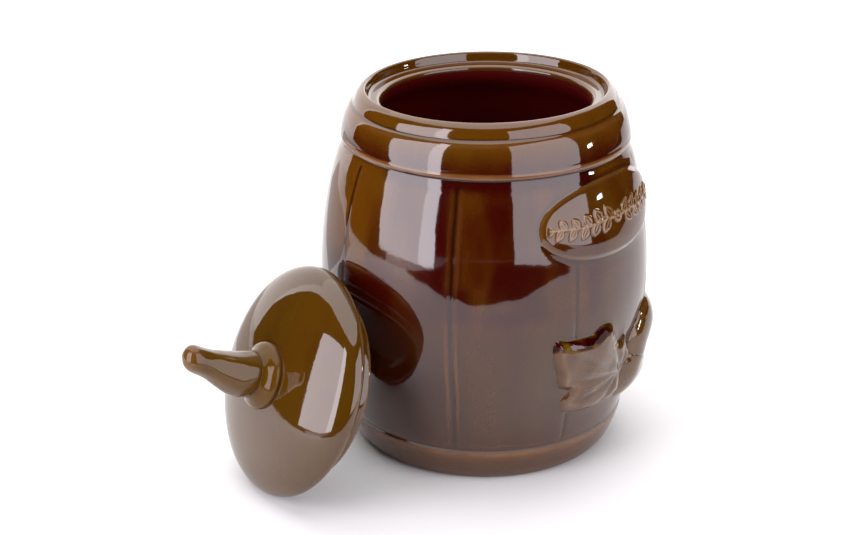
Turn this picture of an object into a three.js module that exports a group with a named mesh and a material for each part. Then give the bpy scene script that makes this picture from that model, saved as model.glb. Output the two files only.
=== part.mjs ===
// A small glazed stoneware crock in the shape of a cask, with its domed lid taken off and leaning against its side.
// Millimetres, +Z up. The origin is the centre of the crock's flat base, on the surface it stands on.
// The front, with the oval plaque, faces -Y. Bearings are degrees from the front, positive towards +X.
import * as THREE from "three";
import { mergeVertices } from "three/addons/utils/BufferGeometryUtils.js";

// ---------------------------------------------------------------- driving dimensions
const GAP = 0.3; // between pieces that touch

// Crock: outer profile as radius, height, from the foot to the crest of the lip.
const BASE_RADIUS = 67.6;
const OUTER = [
  [68.9, 0.7], [70.6, 2.4], [72.6, 5], [74.4, 10], [75.8, 15], [76.5, 18.2], // foot band
  [75.8, 20.6], [76.9, 22.4], // hoop groove
  [79.4, 34], [82.0, 48], [84.2, 61], [85.9, 73], [86.9, 85], [87.1, 94], // barrel wall up to its belly
  [86.7, 106], [85.6, 118], [83.9, 130], [81.6, 142], [78.9, 152], [76.3, 159.6],
  [74.2, 165.7], // notch under the hoop
  [75.4, 166.9], [75.3, 168.9], [75.0, 170.3], // hoop ridge
  [74.3, 173.9], [73.4, 177.1], [72.3, 180.2], [70.4, 183.5], // shoulder band, leaning in
  [68.8, 185.0], // crease under the lip
  [68.0, 187.2], [66.5, 189.7], [64.9, 191.2], [63.4, 192.0], // lip
];
// Crock: inner profile, from the crest of the lip down to the inside of the floor.
const INNER = [
  [62.4, 191.3], [61.8, 189.6], [61.3, 187.2], [60.3, 186.4], // inside of the lip and its fillet
  [55.4, 186.1], [54.4, 185.0], // ledge that the lid rests on, and its inner edge
  [54.6, 180.5], [57.5, 175.5], [64.0, 169.5], [68.6, 162], // throat under the ledge
  [73.2, 148], [77.0, 132], [79.3, 112], [79.8, 94], [78.9, 76], [76.3, 56],
  [72.8, 36], [69.4, 20], [64.0, 12.2], [55.0, 9.2],
];
const FLOOR_TOP = 8.6;

// Stave joints: bearings of the upright grooves, and their size.
const STAVE_JOINTS = [-107.6, -62.7, -19.8, 25.6, 70.9, 116.3, 161.7, 207.0];
const STAVE_GROOVE_HALF_WIDTH = 1.3;
const STAVE_GROOVE_DEPTH = 0.9;
const STAVE_BOTTOM = 22.4;
const STAVE_TOP = 159.6;
const STAVE_STEPS = 5; // columns between two joints

// Oval plaque on the front.
const PLAQUE = { bearing: 0, height: 141.0, halfWidth: 48.0, halfHeight: 19.8, thickness: 1.9 };

// Leaf in relief: its hub, the middle of its blade and its outline, both from the hub in millimetres along the wall, right and up.
const LEAF = { bearing: 4.2, height: 51.5, thickness: 3.4, middle: [-12, 6] };
const LEAF_OUTLINE = [
  [10, 4], [10.6, 8.8], [7.2, 12.2], [4.7, 15.6], [3.4, 20.5], [0.5, 23.5], // small right lobe and the short lobe above the hub
  [-4.2, 19.5], [-7.4, 25.2], [-9.5, 30.5], [-12, 33.4], [-18, 34.8], [-21.5, 32.8], [-25.4, 30.6], // top lobe
  [-33, 31], [-39.6, 30.8], [-45.3, 33], [-48.2, 31], [-49.2, 26.6], [-49.4, 21.4], [-47.2, 15.7], [-45, 12.5], // upper left lobe
  [-44.2, 7.4], [-42, 3.6], [-37.2, 1.5], [-31.5, 0.8], [-36, -0.8], [-38.6, -3], [-40.6, -6], [-40.2, -9.6], [-35, -12.6], // middle and lower left lobes
  [-28.8, -13.8], [-19.3, -15.9], [-12.3, -15.6], [-7, -15.2], [-2.6, -15], [0, -13.3], // lower edge
  [-0.9, -9.6], [-0.9, -6], [1.4, -1.9], [6, 1.2], // along the end of the lower gherkin
];

// Two gherkins in relief, lying side by side aslant to the right of the leaf.
const UPPER_GHERKIN = { bearing: 31.2, height: 64.3, halfLength: 28.6, halfWidth: 14.1, slope: -15, thickness: 6.6 };
const LOWER_GHERKIN = { bearing: 27.2, height: 37.7, halfLength: 31.2, halfWidth: 12.4, slope: -15, thickness: 7.2 };

// Lid: profile as radius and height above its widest circle.
const LID_RADIUS = 59.4;
const DOME_HEIGHT = 19.9;
const LID_UNDER = [
  [58.5, -1.9], [56.4, -2.8], [51.6, -3.1], [49.3, -3.9], // rounded edge, and the face that rests on the ledge
  [48.9, -7.0], [49.9, -11.3], [49.2, -12.3], [46.6, -12.4], [45.2, -11.4], // locating flange
  [45.0, -4.0], [44.2, 0.2], [40.5, 4.6], [33.0, 8.8], [23.0, 12.0], [11.0, 13.7], // hollow underside
];
const LID_CROWN_UNDER = 14.1;

// Knob on the crown of the lid.
const COLLAR = { outer: 16.9, inner: 10.3, height: 7.2 };
// Stalk: radius, height above the lid's widest circle, and how far its middle lies up-slope of the lid's axis.
const STALK = [
  [9.9, 20.2, 0], [9.9, 26.2, 0], [11.3, 28.4, -0.3], [11.6, 31.5, -0.8], [11.3, 35.0, -1.1], [10.4, 40.0, -0.5], [8.9, 45.0, 0.4],
  [7.5, 50.0, 1.4], [6.9, 54.0, 2.2], [6.7, 57.5, 2.8], [6.4, 60.2, 3.2], [5.5, 62.8, 3.6], [3.3, 64.9, 3.9],
];
const STALK_TIP = [65.7, 4.0];

// How the lid leans: bearing and distance of its centre from the crock's axis, its centre's height, the bearing it faces and its tilt.
const LEAN = { bearing: -106.4, distance: 118.1, height: 54.95, faces: -108.7, tilt: 22.7 };

// ---------------------------------------------------------------- helpers
const rad = THREE.MathUtils.degToRad;

// A point on the crock from a bearing in radians, a radius and a height.
const polar = (bearing, r, z) => [r * Math.sin(bearing), -r * Math.cos(bearing), z];

// Radius of the smooth barrel wall at a height.
const wall = OUTER.filter(([, z]) => z >= 22 && z <= 160);
function wallRadius(z) {
  if (z <= wall[0][1]) return wall[0][0];
  for (let i = 1; i < wall.length; i++) {
    const [r0, z0] = wall[i - 1], [r1, z1] = wall[i];
    if (z <= z1) return r0 + ((r1 - r0) * (z - z0)) / (z1 - z0);
  }
  return wall[wall.length - 1][0];
}

// A lathed solid whose every point can be moved: place(column, radius, height, columns) gives the new point.
function lathe(profile, columns, place) {
  const points = profile.map(([r, z]) => new THREE.Vector2(r, z));
  const geometry = new THREE.LatheGeometry(points, columns);
  geometry.deleteAttribute("normal");
  geometry.deleteAttribute("uv");
  const position = geometry.getAttribute("position");
  for (let i = 0; i <= columns; i++)
    for (let j = 0; j < points.length; j++) {
      const [x, y, z] = place(i % columns, points[j].x, points[j].y, columns);
      position.setXYZ(i * points.length + j, x, y, z);
    }
  const merged = mergeVertices(geometry, 1e-4);
  merged.computeVertexNormals();
  return merged;
}

// A plain body of revolution about Z.
const turned = (profile, columns) =>
  lathe(profile, columns, (i, r, z, n) => polar((2 * Math.PI * i) / n, r, z));

// A pillow laid on the barrel wall: outline points in millimetres right and up of a centre, and a section as share of the outline, height.
function sprig(centre, outline, section) {
  const base = rad(centre.bearing);
  const [middleRight, middleUp] = centre.middle ?? [0, 0];
  return lathe(section, outline.length, (i, share, t) => {
    const right = middleRight + share * (outline[i][0] - middleRight);
    const z = centre.height + middleUp + share * (outline[i][1] - middleUp);
    const r = wallRadius(z);
    return polar(base + right / wallRadius(centre.height), r + GAP + t, z);
  });
}

const glaze = (name, color) =>
  new THREE.MeshStandardMaterial({ name, color, roughness: 0.12, metalness: 0 });

function part(name, geometry, material) {
  const mesh = new THREE.Mesh(geometry, material);
  mesh.name = name;
  return mesh;
}

// ---------------------------------------------------------------- crock
const columns = [];
STAVE_JOINTS.forEach((joint, k) => {
  const next = k + 1 < STAVE_JOINTS.length ? STAVE_JOINTS[k + 1] : STAVE_JOINTS[0] + 360;
  const half = THREE.MathUtils.radToDeg(STAVE_GROOVE_HALF_WIDTH / wallRadius(94));
  columns.push({ bearing: joint - half, groove: 0 }, { bearing: joint, groove: 1 }, { bearing: joint + half, groove: 0 });
  for (let s = 1; s <= STAVE_STEPS; s++)
    columns.push({ bearing: joint + half + ((next - joint - 2 * half) * s) / (STAVE_STEPS + 1), groove: 0 });
});

const crockProfile = [[0, 0], [BASE_RADIUS, 0], ...OUTER, ...INNER, [0, FLOOR_TOP]];
const outerWall = new Set(OUTER.filter(([, z]) => z >= STAVE_BOTTOM && z <= STAVE_TOP).map(([r, z]) => r + "/" + z));
const crockBarrel = lathe(crockProfile, columns.length, (i, r, z) => {
  const cut = columns[i].groove && outerWall.has(r + "/" + z) ? STAVE_GROOVE_DEPTH : 0;
  return polar(rad(columns[i].bearing), r - cut, z);
});

const ellipse = (halfWidth, halfHeight, slope, count) => {
  const c = Math.cos(rad(slope)), s = Math.sin(rad(slope));
  return Array.from({ length: count }, (_, i) => {
    const a = (2 * Math.PI * i) / count;
    const x = halfWidth * Math.cos(a), y = halfHeight * Math.sin(a);
    return [c * x - s * y, s * x + c * y];
  });
};

// Section of a sprig: its back in even steps out to the edge, then its edge and face.
const back = (steps) => Array.from({ length: steps + 1 }, (_, i) => [i / steps, 0]);

const pad = (t) => [
  ...back(8), [1, 0.3 * t], [0.985, 0.62 * t], [0.94, 0.9 * t], [0.86, t], [0.72, t], [0.56, t], [0.4, t], [0.2, t], [0, t],
];
const plaque = sprig(PLAQUE, ellipse(PLAQUE.halfWidth, PLAQUE.halfHeight, 0, 40), pad(PLAQUE.thickness));

const blade = (t) => [...back(7), [1, 0.45 * t], [0.95, 0.85 * t], [0.8, t], [0.6, 0.95 * t], [0.4, 0.9 * t], [0.2, 0.85 * t], [0, 0.8 * t]];
const leaf = sprig(LEAF, LEAF_OUTLINE, blade(LEAF.thickness));

const dome = (t) => [
  ...back(5), [1, 0.12 * t], [0.94, 0.36 * t], [0.8, 0.62 * t], [0.58, 0.83 * t], [0.3, 0.96 * t], [0, t],
];
const gherkin = (g) => sprig(g, ellipse(g.halfLength, g.halfWidth, g.slope, 28), dome(g.thickness));

// ---------------------------------------------------------------- lid
const domeAt = (r) => DOME_HEIGHT * Math.sqrt(Math.max(0, 1 - (r / LID_RADIUS) ** 2));
const lidTop = [59.2, 58, 55.5, 51.5, 46, 39, 31, 22, 13, 6].map((r) => [r, domeAt(r)]);
const lidProfile = [[0, LID_CROWN_UNDER], ...LID_UNDER.slice().reverse(), [LID_RADIUS, -0.2], ...lidTop, [0, DOME_HEIGHT]];
const lidCap = turned(lidProfile, 56);

// The collar is a ring; its underside follows the crown of the lid.
const under = (r) => domeAt(r) + GAP;
const { outer: co, inner: ci, height: ch } = COLLAR;
const top = under(ci) + ch;
const rimFoot = under(co);
const collarProfile = [
  [ci, under(ci)], [13.2, under(13.2)], [co - 0.7, under(co - 0.7)], [co, rimFoot + 1.1], [co - 0.4, rimFoot + 2.5], // seat and thin rim
  [co - 2.0, rimFoot + 4.1], [co - 3.6, rimFoot + 5.5], [co - 4.6, top - 0.9], [ci + 0.9, top], [ci, top - 0.8], [ci, under(ci)], // face that flares down from the stalk
];
const collar = turned(collarProfile, 32);

const stalkProfile = [[0, STALK[0][1]], ...STALK, [0, STALK_TIP[0]]];
const bend = new Map([...STALK.map(([, h, up]) => [h, up]), STALK_TIP]);
const stalk = lathe(stalkProfile, 24, (i, r, h, n) => {
  const [x, y, z] = polar((2 * Math.PI * i) / n, r, h);
  return [x, y + bend.get(h), z];
});

// ---------------------------------------------------------------- assembly
const crock = new THREE.Group();
crock.add(
  part("crock_barrel", crockBarrel, glaze("crock_glaze", 0x5a2f0e)),
  part("plaque", plaque, glaze("plaque_glaze", 0x5f340f)),
  part("leaf_sprig", leaf, glaze("leaf_glaze", 0x63380f)),
  part("upper_gherkin", gherkin(UPPER_GHERKIN), glaze("upper_gherkin_glaze", 0x63380f)),
  part("lower_gherkin", gherkin(LOWER_GHERKIN), glaze("lower_gherkin_glaze", 0x63380f)),
);

const facing = rad(LEAN.faces), tilt = rad(LEAN.tilt);
const axis = new THREE.Vector3(Math.cos(tilt) * Math.sin(facing), -Math.cos(tilt) * Math.cos(facing), Math.sin(tilt));
const across = new THREE.Vector3(0, 0, 1).cross(axis).normalize();
const upSlope = axis.clone().cross(across);
const lid = new THREE.Group();
lid.position.set(...polar(rad(LEAN.bearing), LEAN.distance, LEAN.height));
lid.quaternion.setFromRotationMatrix(new THREE.Matrix4().makeBasis(across, upSlope, axis));
lid.add(
  part("lid_cap", lidCap, glaze("lid_glaze", 0x5a2f0e)),
  part("knob_collar", collar, glaze("collar_glaze", 0x63380f)),
  part("knob_stalk", stalk, glaze("stalk_glaze", 0x63380f)),
);

const assembly = new THREE.Group();
assembly.add(crock, lid);

export default assembly;
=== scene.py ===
import math

import bpy
import numpy as np
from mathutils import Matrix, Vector


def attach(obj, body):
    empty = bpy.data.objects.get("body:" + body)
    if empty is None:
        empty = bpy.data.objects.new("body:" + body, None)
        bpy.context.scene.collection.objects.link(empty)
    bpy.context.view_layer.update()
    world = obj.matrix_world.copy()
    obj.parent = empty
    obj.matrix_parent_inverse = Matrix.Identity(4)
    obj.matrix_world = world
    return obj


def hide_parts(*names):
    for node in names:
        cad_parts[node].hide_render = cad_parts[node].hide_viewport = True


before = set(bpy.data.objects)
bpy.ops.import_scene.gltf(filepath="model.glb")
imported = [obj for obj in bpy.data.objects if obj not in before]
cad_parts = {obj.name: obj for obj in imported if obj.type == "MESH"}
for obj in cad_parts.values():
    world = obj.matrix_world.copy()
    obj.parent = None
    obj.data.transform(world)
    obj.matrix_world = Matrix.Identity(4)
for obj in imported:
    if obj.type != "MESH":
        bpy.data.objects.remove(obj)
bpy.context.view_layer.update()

MM = 0.001

# The row frame: origin in the middle of the crock's flat base, +Z up, the plaque facing -Y.
# Shapes are worked out in millimetres. A bearing is in degrees from -Y towards +X.

# ------------------------------------------------------------------ measures

GROUND_LINE = [  # radius, height: from the edge of the flat base up to the wall's top
    (66.2, 0.0), (67.9, 0.0), (69.0, 0.35), (69.9, 1.3), (71.0, 2.9), (72.6, 5.6),
    (74.3, 10.2), (75.4, 13.4), (76.05, 15.8), (76.3, 17.4), (76.25, 18.3), (76.05, 19.1),
    (75.9, 19.7), (76.05, 20.3), (76.45, 21.2), (76.95, 22.8), (77.9, 26.5), (79.4, 34.0), (82.0, 48.0),
    (84.2, 61.0), (85.9, 73.0), (86.9, 85.0), (87.15, 94.0), (86.7, 106.0), (85.6, 118.0),
    (83.9, 130.0), (81.6, 142.0), (78.9, 152.0), (76.9, 158.4),
]
HOOP_LINE = [  # the notch, the thin raised hoop, the shoulder band, the crease and the lip
    (75.7, 160.9), (75.15, 162.6), (74.65, 164.2), (74.35, 165.2), (74.25, 165.75), (74.35, 166.05),
    (74.8, 166.25), (75.25, 166.6), (75.42, 167.3), (75.4, 168.1), (75.3, 168.9), (75.1, 169.6),
    (75.02, 170.1), (75.0, 170.7), (74.75, 172.2), (74.3, 173.9), (73.45, 177.1), (72.35, 180.2),
    (71.4, 182.0), (70.5, 183.4), (69.85, 184.05), (69.25, 184.5), (68.85, 184.95), (68.65, 185.5),
    (68.35, 186.2), (67.95, 187.2), (67.3, 188.5), (66.5, 189.7), (65.5, 190.75), (64.4, 191.5),
    (63.4, 191.9), (62.6, 191.7), (62.0, 190.9), (61.6, 189.4), (61.35, 187.7),
]
INNER_LINE = [  # the ledge for the lid, the throat and the inside down to the floor
    (60.8, 186.75), (59.6, 186.3), (57.4, 186.2), (55.8, 186.0), (54.8, 185.3), (54.4, 184.2),
    (54.4, 182.4), (54.9, 180.2), (56.2, 177.4), (59.0, 174.2), (63.3, 170.2), (67.2, 165.0),
    (70.3, 157.6), (73.3, 148.0), (77.0, 132.0), (79.3, 112.0), (79.8, 94.0), (78.9, 76.0),
    (76.3, 56.0), (72.8, 36.0), (70.4, 24.0), (68.2, 16.6), (63.6, 11.8), (55.5, 9.4),
    (42.0, 8.7), (22.0, 8.6), (9.0, 8.6),
]
STAVES = [-107.6, -62.7, -19.8, 25.6, 70.9, 116.3, 161.7, -153.0]
STAVE_PALE = [0.16, 0.30, 0.07, 0.14, 0.20, 0.14, 0.24, 0.16]  # how tan the edges of each joint are

PLAQUE = {"bearing": 0.0, "z": 141.0, "half_width": 48.0, "half_height": 19.8, "power": 2.2}
LEAF = {"bearing": 4.2, "z": 51.5, "middle": (-12.0, 6.0)}
LEAF_EDGE = [  # right and up of the leaf's hub, along the wall
    (13, 5.5), (12.5, 9.5), (8.5, 12.8), (5.2, 16), (3.4, 20.5), (0.5, 23.5), (-4.2, 19.5), (-7.4, 25.2),
    (-9.5, 30.8), (-12, 33.8), (-18, 35.2), (-21.5, 33.0), (-25.4, 30.6), (-33, 31), (-39.6, 30.9),
    (-45.0, 33.2), (-47.2, 31), (-47.5, 26.6), (-46.9, 21.4), (-45.0, 15.7), (-43.6, 12.5), (-43.6, 7.4),
    (-42, 3.6), (-38.4, 2.0), (-34.6, 0.7), (-37.0, -1.2), (-39.2, -3.2), (-40.6, -6), (-40.2, -9.6),
    (-35, -12.6), (-28.8, -13.9), (-19.3, -16), (-12.3, -15.7), (-7, -15.3), (-2.6, -15.1), (3.0, -14.8),
    (5.4, -10.5), (5.8, -6), (7.5, -1.5), (11, 2),
]
LEAF_HUB = (-1.5, 2.0)
LEAF_VEINS = [(9.5, 9.5), (1.6, 21.5), (-14.5, 33), (-45.5, 28.5), (-42.5, 8.5), (-38, -7.6), (-15, -14.6)]
GHERKINS = {  # middle line right and up of the leaf's hub with its half width, the height of the crest and its roundness
    "upper": {"line": [(22.5, 9.5, 14.5), (31.0, 14.3, 16.8), (43.0, 10.4, 17.4), (53.5, 7.6, 16.8)], "height": 6.6, "power": 0.88},
    "lower": {"line": [(16.0, -5.5, 16.3), (31.5, -9.6, 16.3), (46.9, -13.8, 16.3)], "height": 7.2, "power": 1.1},
}

LID = {"radius": 59.4, "dome": 19.9}
LID_UNDER = [  # radius, height over the lid's widest circle: from the crown of the hollow out
    (9.0, 13.9), (11.0, 13.7), (23.0, 12.0), (33.0, 8.8), (40.5, 4.6), (43.6, 1.0), (44.7, -2.6),
    (45.0, -6.0), (45.1, -10.2), (45.6, -11.6), (46.7, -12.3), (48.4, -12.4), (49.4, -12.1),
    (49.9, -11.2), (49.7, -9.6), (49.1, -7.0), (49.0, -5.0), (49.5, -3.8), (50.8, -3.2),
    (53.4, -3.05), (56.2, -2.85), (57.8, -2.4), (58.8, -1.5),
]
LID_CENTRE = np.array([-113.295, 33.3445, 54.95])
LID_UP = np.array([-0.873838, 0.295778, 0.385906])
LID_ACROSS = np.array([-0.320613, -0.947210, 0.0])
LID_SLOPE = np.array([0.365534, -0.123726, 0.922538])
STALK = [  # radius, height, set-off up the slope
    (10.6, 22.0, 0.0), (11.0, 25.4, 0.0), (11.7, 27.0, 0.0), (11.75, 28.6, -0.2),
    (11.7, 30.4, -0.6), (11.6, 32.5, -0.9), (11.35, 35.0, -1.1), (10.45, 40.0, -0.5),
    (8.95, 45.0, 0.4), (7.55, 50.0, 1.4), (7.0, 54.0, 2.2), (6.85, 57.0, 2.7), (6.8, 59.6, 3.1),
    (6.5, 61.6, 3.4), (5.6, 63.5, 3.7), (4.2, 64.9, 3.9), (2.1, 65.7, 4.0),
]

# ------------------------------------------------------------------ shape tools


def cut_corners(points, times, loop=False):
    """Corner cutting: a smooth line inside a polyline. An open line keeps its ends."""
    p = np.array(points, float)
    for _ in range(times):
        a = p if loop else p[:-1]
        b = np.roll(p, -1, 0) if loop else p[1:]
        q = np.empty((2 * len(a), p.shape[1]))
        q[0::2] = 0.75 * a + 0.25 * b
        q[1::2] = 0.25 * a + 0.75 * b
        p = q if loop else np.vstack([p[:1], q, p[-1:]])
    return p


def walk(points, fine, coarse, sag=0.1):
    """Points along a smooth line, closer together where it turns."""
    p = np.array(points, float)
    step = np.linalg.norm(np.diff(p[:, :2], axis=0), axis=1)
    keep = np.r_[True, step > 1e-9]
    p = p[keep]
    d = np.diff(p[:, :2], axis=0)
    step = np.linalg.norm(d, axis=1)
    heading = np.unwrap(np.arctan2(d[:, 1], d[:, 0]))
    turn = np.abs(np.diff(heading)) / (0.5 * (step[1:] + step[:-1]))
    turn = np.r_[turn[:1], turn, turn[-1:]]
    turn = np.maximum(turn, np.r_[turn[1:], turn[-1:]])
    pace = np.clip(sag / np.maximum(turn, 1e-6), fine, coarse)
    pace = np.minimum(pace, np.convolve(np.pad(pace, 2, "edge"), np.ones(5) / 5, "valid") * 1.4)
    ticks = np.r_[0, np.cumsum(step / (0.5 * (pace[1:] + pace[:-1])))]
    n = max(3, int(round(ticks[-1])) + 1)
    at = np.linspace(0, ticks[-1], n)
    return np.stack([np.interp(at, ticks, p[:, k]) for k in range(p.shape[1])], 1)


def ease(x):
    x = np.clip(x, 0.0, 1.0)
    return x * x * (3 - 2 * x)


def bell(x, width):
    return np.exp(-((x / width) ** 2))


def lumps(p, size, seed):
    """Smooth noise from -1 to 1 at points p, with lumps about size across."""
    q = p / size
    cell = np.floor(q).astype(np.int64)
    f = q - cell
    f = f * f * f * (f * (f * 6 - 15) + 10)
    total = np.zeros(len(q))
    for dx in (0, 1):
        for dy in (0, 1):
            for dz in (0, 1):
                h = (
                    (cell[:, 0] + dx) * 374761393
                    + (cell[:, 1] + dy) * 668265263
                    + (cell[:, 2] + dz) * 362437
                    + seed * 69069
                ) & 0xFFFFFFFF
                h = ((h ^ (h >> 13)) * 1274126177) & 0xFFFFFFFF
                h = h ^ (h >> 16)
                value = (h & 0xFFFFFF) / float(0xFFFFFF) * 2 - 1
                w = (
                    (f[:, 0] if dx else 1 - f[:, 0])
                    * (f[:, 1] if dy else 1 - f[:, 1])
                    * (f[:, 2] if dz else 1 - f[:, 2])
                )
                total += w * value
    return total


def inwards(q, edge):
    """Distance of each point of q to a closed outline, positive inside it."""
    a, b = edge, np.roll(edge, -1, 0)
    best = np.full(len(q), 1e9)
    inside = np.zeros(len(q), bool)
    for p0, p1 in zip(a, b):
        v = p1 - p0
        w = q - p0
        t = np.clip((w @ v) / (v @ v), 0, 1)
        best = np.minimum(best, np.hypot(w[:, 0] - t * v[0], w[:, 1] - t * v[1]))
        cross = (p0[1] > q[:, 1]) != (p1[1] > q[:, 1])
        with np.errstate(divide="ignore", invalid="ignore"):
            x = p0[0] + (q[:, 1] - p0[1]) * (v[0] / v[1] if v[1] else 0.0)
        inside ^= cross & (q[:, 0] < x)
    return np.where(inside, best, -best)


def to_segment(q, p0, p1):
    """Distance of each point to a segment, and how far along it the nearest place is."""
    p0, p1 = np.array(p0, float), np.array(p1, float)
    v, w = p1 - p0, q - p0
    t = np.clip((w @ v) / (v @ v), 0, 1)
    return np.hypot(w[:, 0] - t * v[0], w[:, 1] - t * v[1]), t


def make_mesh(name, verts, faces, marks):
    """A smooth-shaded object from points in millimetres. marks are numbers on its points."""
    mesh = bpy.data.meshes.new(name)
    mesh.from_pydata((verts * MM).tolist(), [], faces)
    mesh.polygons.foreach_set("use_smooth", np.ones(len(mesh.polygons), bool))
    for key, values in marks.items():
        layer = mesh.attributes.new(key, "FLOAT", "POINT")
        layer.data.foreach_set("value", np.clip(values, 0, 1).astype(np.float32))
    mesh.update()
    mesh.validate()
    made = bpy.data.objects.new(name, mesh)
    bpy.context.scene.collection.objects.link(made)
    return made


def shell(name, rings, marks):
    """A closed skin over rings of points. The first and last ring are single points."""
    count, around = rings.shape[:2]

    def flat(grid):
        return np.concatenate(
            [grid[:1, :1].reshape(1, -1), grid[1:-1].reshape((count - 2) * around, -1), grid[-1:, :1].reshape(1, -1)]
        )

    idx = 1 + np.arange((count - 2) * around).reshape(count - 2, around)
    nxt = np.roll(idx, -1, axis=1)
    top = 1 + (count - 2) * around
    faces = np.stack([idx[:-1], nxt[:-1], nxt[1:], idx[1:]], -1).reshape(-1, 4).tolist()
    faces += np.stack([np.zeros(around, int), nxt[0], idx[0]], -1).tolist()
    faces += np.stack([np.full(around, top), idx[-1], nxt[-1]], -1).tolist()
    return make_mesh(name, flat(rings), faces, {k: flat(v[..., None])[:, 0] for k, v in marks.items()})


def pad(name, top, under, marks):
    """A closed piece from a rectangular grid of points, its rim drawn together at one point behind it."""
    rows, cols = top.shape[:2]
    idx = np.arange(rows * cols).reshape(rows, cols)
    faces = np.stack([idx[:-1, :-1], idx[:-1, 1:], idx[1:, 1:], idx[1:, :-1]], -1).reshape(-1, 4).tolist()
    rim = np.concatenate([idx[0, :-1], idx[:-1, -1], idx[-1, :0:-1], idx[:0:-1, 0]])
    faces += np.stack([np.full(len(rim), rows * cols), np.roll(rim, -1), rim], -1).tolist()
    flat = {k: np.r_[v.reshape(-1), 0.0] for k, v in marks.items()}
    return make_mesh(name, np.vstack([top.reshape(-1, 3), under]), faces, flat)


# ------------------------------------------------------------------ the barrel's wall

outer = cut_corners(GROUND_LINE + HOOP_LINE + INNER_LINE, 4)
split = int(np.argmax(outer[:, 1]))
up_wall = outer[: split + 1]
straight = (up_wall[:, 1] > 23.2) & (up_wall[:, 1] < 162.0)
WALL_Z, WALL_R = up_wall[straight, 1], up_wall[straight, 0]


def wall_radius(z):
    return np.interp(z, WALL_Z, WALL_R)


def on_wall(bearing, z, lift):
    """Points on the wall at bearings in radians, lift millimetres proud of it."""
    r = wall_radius(z) + lift
    return np.stack([r * np.sin(bearing), -r * np.cos(bearing), z], -1)


def uneven(bearing, z):
    """Hand-finished unevenness of the wall, in millimetres."""
    b, zz = np.broadcast_arrays(bearing, z)
    p = np.stack([82 * np.sin(b).ravel(), 82 * np.cos(b).ravel(), zz.ravel()], 1)
    d = 0.09 * lumps(p, 34.0, 3) + 0.030 * lumps(p, 13.0, 5) + 0.010 * lumps(p, 6.0, 7)
    return d.reshape(b.shape)


# ---- reliefs: each gives the distance inside its edge, and its height over the wall

PLAQUE_R = float(wall_radius(PLAQUE["z"]))
LEAF_R = float(wall_radius(LEAF["z"]))
leaf_edge = cut_corners(LEAF_EDGE, 2, loop=True)


def plaque_inside(s, t):
    n = PLAQUE["power"]
    u = np.abs(s) / PLAQUE["half_width"] + 1e-9
    v = np.abs(t) / PLAQUE["half_height"] + 1e-9
    q = (u**n + v**n) ** (1 / n)
    gu = (u / q) ** (n - 1) / PLAQUE["half_width"]
    gv = (v / q) ** (n - 1) / PLAQUE["half_height"]
    return np.clip((1 - q) / np.hypot(gu, gv), -60, 18)


def sprays():
    """The small leaves of the plaque's garland: root, direction, length and half width."""
    out = []
    for side in (1, -1):
        for k in range(5):
            s = 4.6 + 7.3 * k
            grow = 1.0 - 0.05 * k
            out.append(((side * s, 0.5 * math.sin(s / 5.0)), (side * math.cos(0.92), math.sin(0.92)), 7.6 * grow, 2.15 * grow))
            out.append(((side * (s + 2.2), 0.5 * math.sin((s + 2.2) / 5.0)), (side * math.cos(0.92), -math.sin(0.92)), 7.6 * grow, 2.15 * grow))
        out.append(((side * 40.5, 0.5), (side, 0.0), 6.4, 1.9))
    return out


def garland(s, t):
    """Relief of a plain garland of leaves, its rim lines, and the hollows in it."""
    high = np.zeros_like(s)
    line = np.zeros_like(s)
    hollow = np.zeros_like(s)
    for (s0, t0), (cx, cy), length, half in sprays():
        a = (s - s0) * cx + (t - t0) * cy
        b = -(s - s0) * cy + (t - t0) * cx
        along = np.clip(a / length, 0, 1)
        width = half * np.sin(math.pi * along**0.8)
        e = width - np.abs(b)
        on = ((a > 0) & (a < length)).astype(float)
        rim = bell(e, 0.42) * on
        body = ease(e / 0.8) * on
        rib = bell(b, 0.32) * ease(e / 0.5) * on
        high = np.maximum(high, 0.62 * rim + 0.30 * body + 0.22 * rib)
        line = np.maximum(line, np.maximum(rim, 0.8 * rib))
        hollow = np.maximum(hollow, body * (1 - bell(np.abs(b) - 0.5 * width, 0.7)) * 0.0 + body * bell(np.abs(b) - 0.5 * width, 0.45) * 0.5)
    stem = np.abs(t - 0.5 * np.sin(np.abs(s) / 5.0))
    stem = bell(stem, 0.55) * (np.abs(s) < 41) * (np.abs(s) > 3.0)
    high = np.maximum(high, 0.55 * stem)
    line = np.maximum(line, 0.8 * stem)
    ring = bell(np.hypot(s, t) - 2.3, 0.55)
    dot = bell(np.hypot(s, t), 0.95)
    high = np.maximum(high, 0.6 * np.maximum(ring, dot))
    line = np.maximum(line, np.maximum(ring, dot))
    return high, line, hollow


def plaque_height(s, t):
    d = plaque_inside(s, t)
    return 1.5 * ease((d + 0.1) / 3.8) + 0.45 * ease(d / 10.0), d


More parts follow.
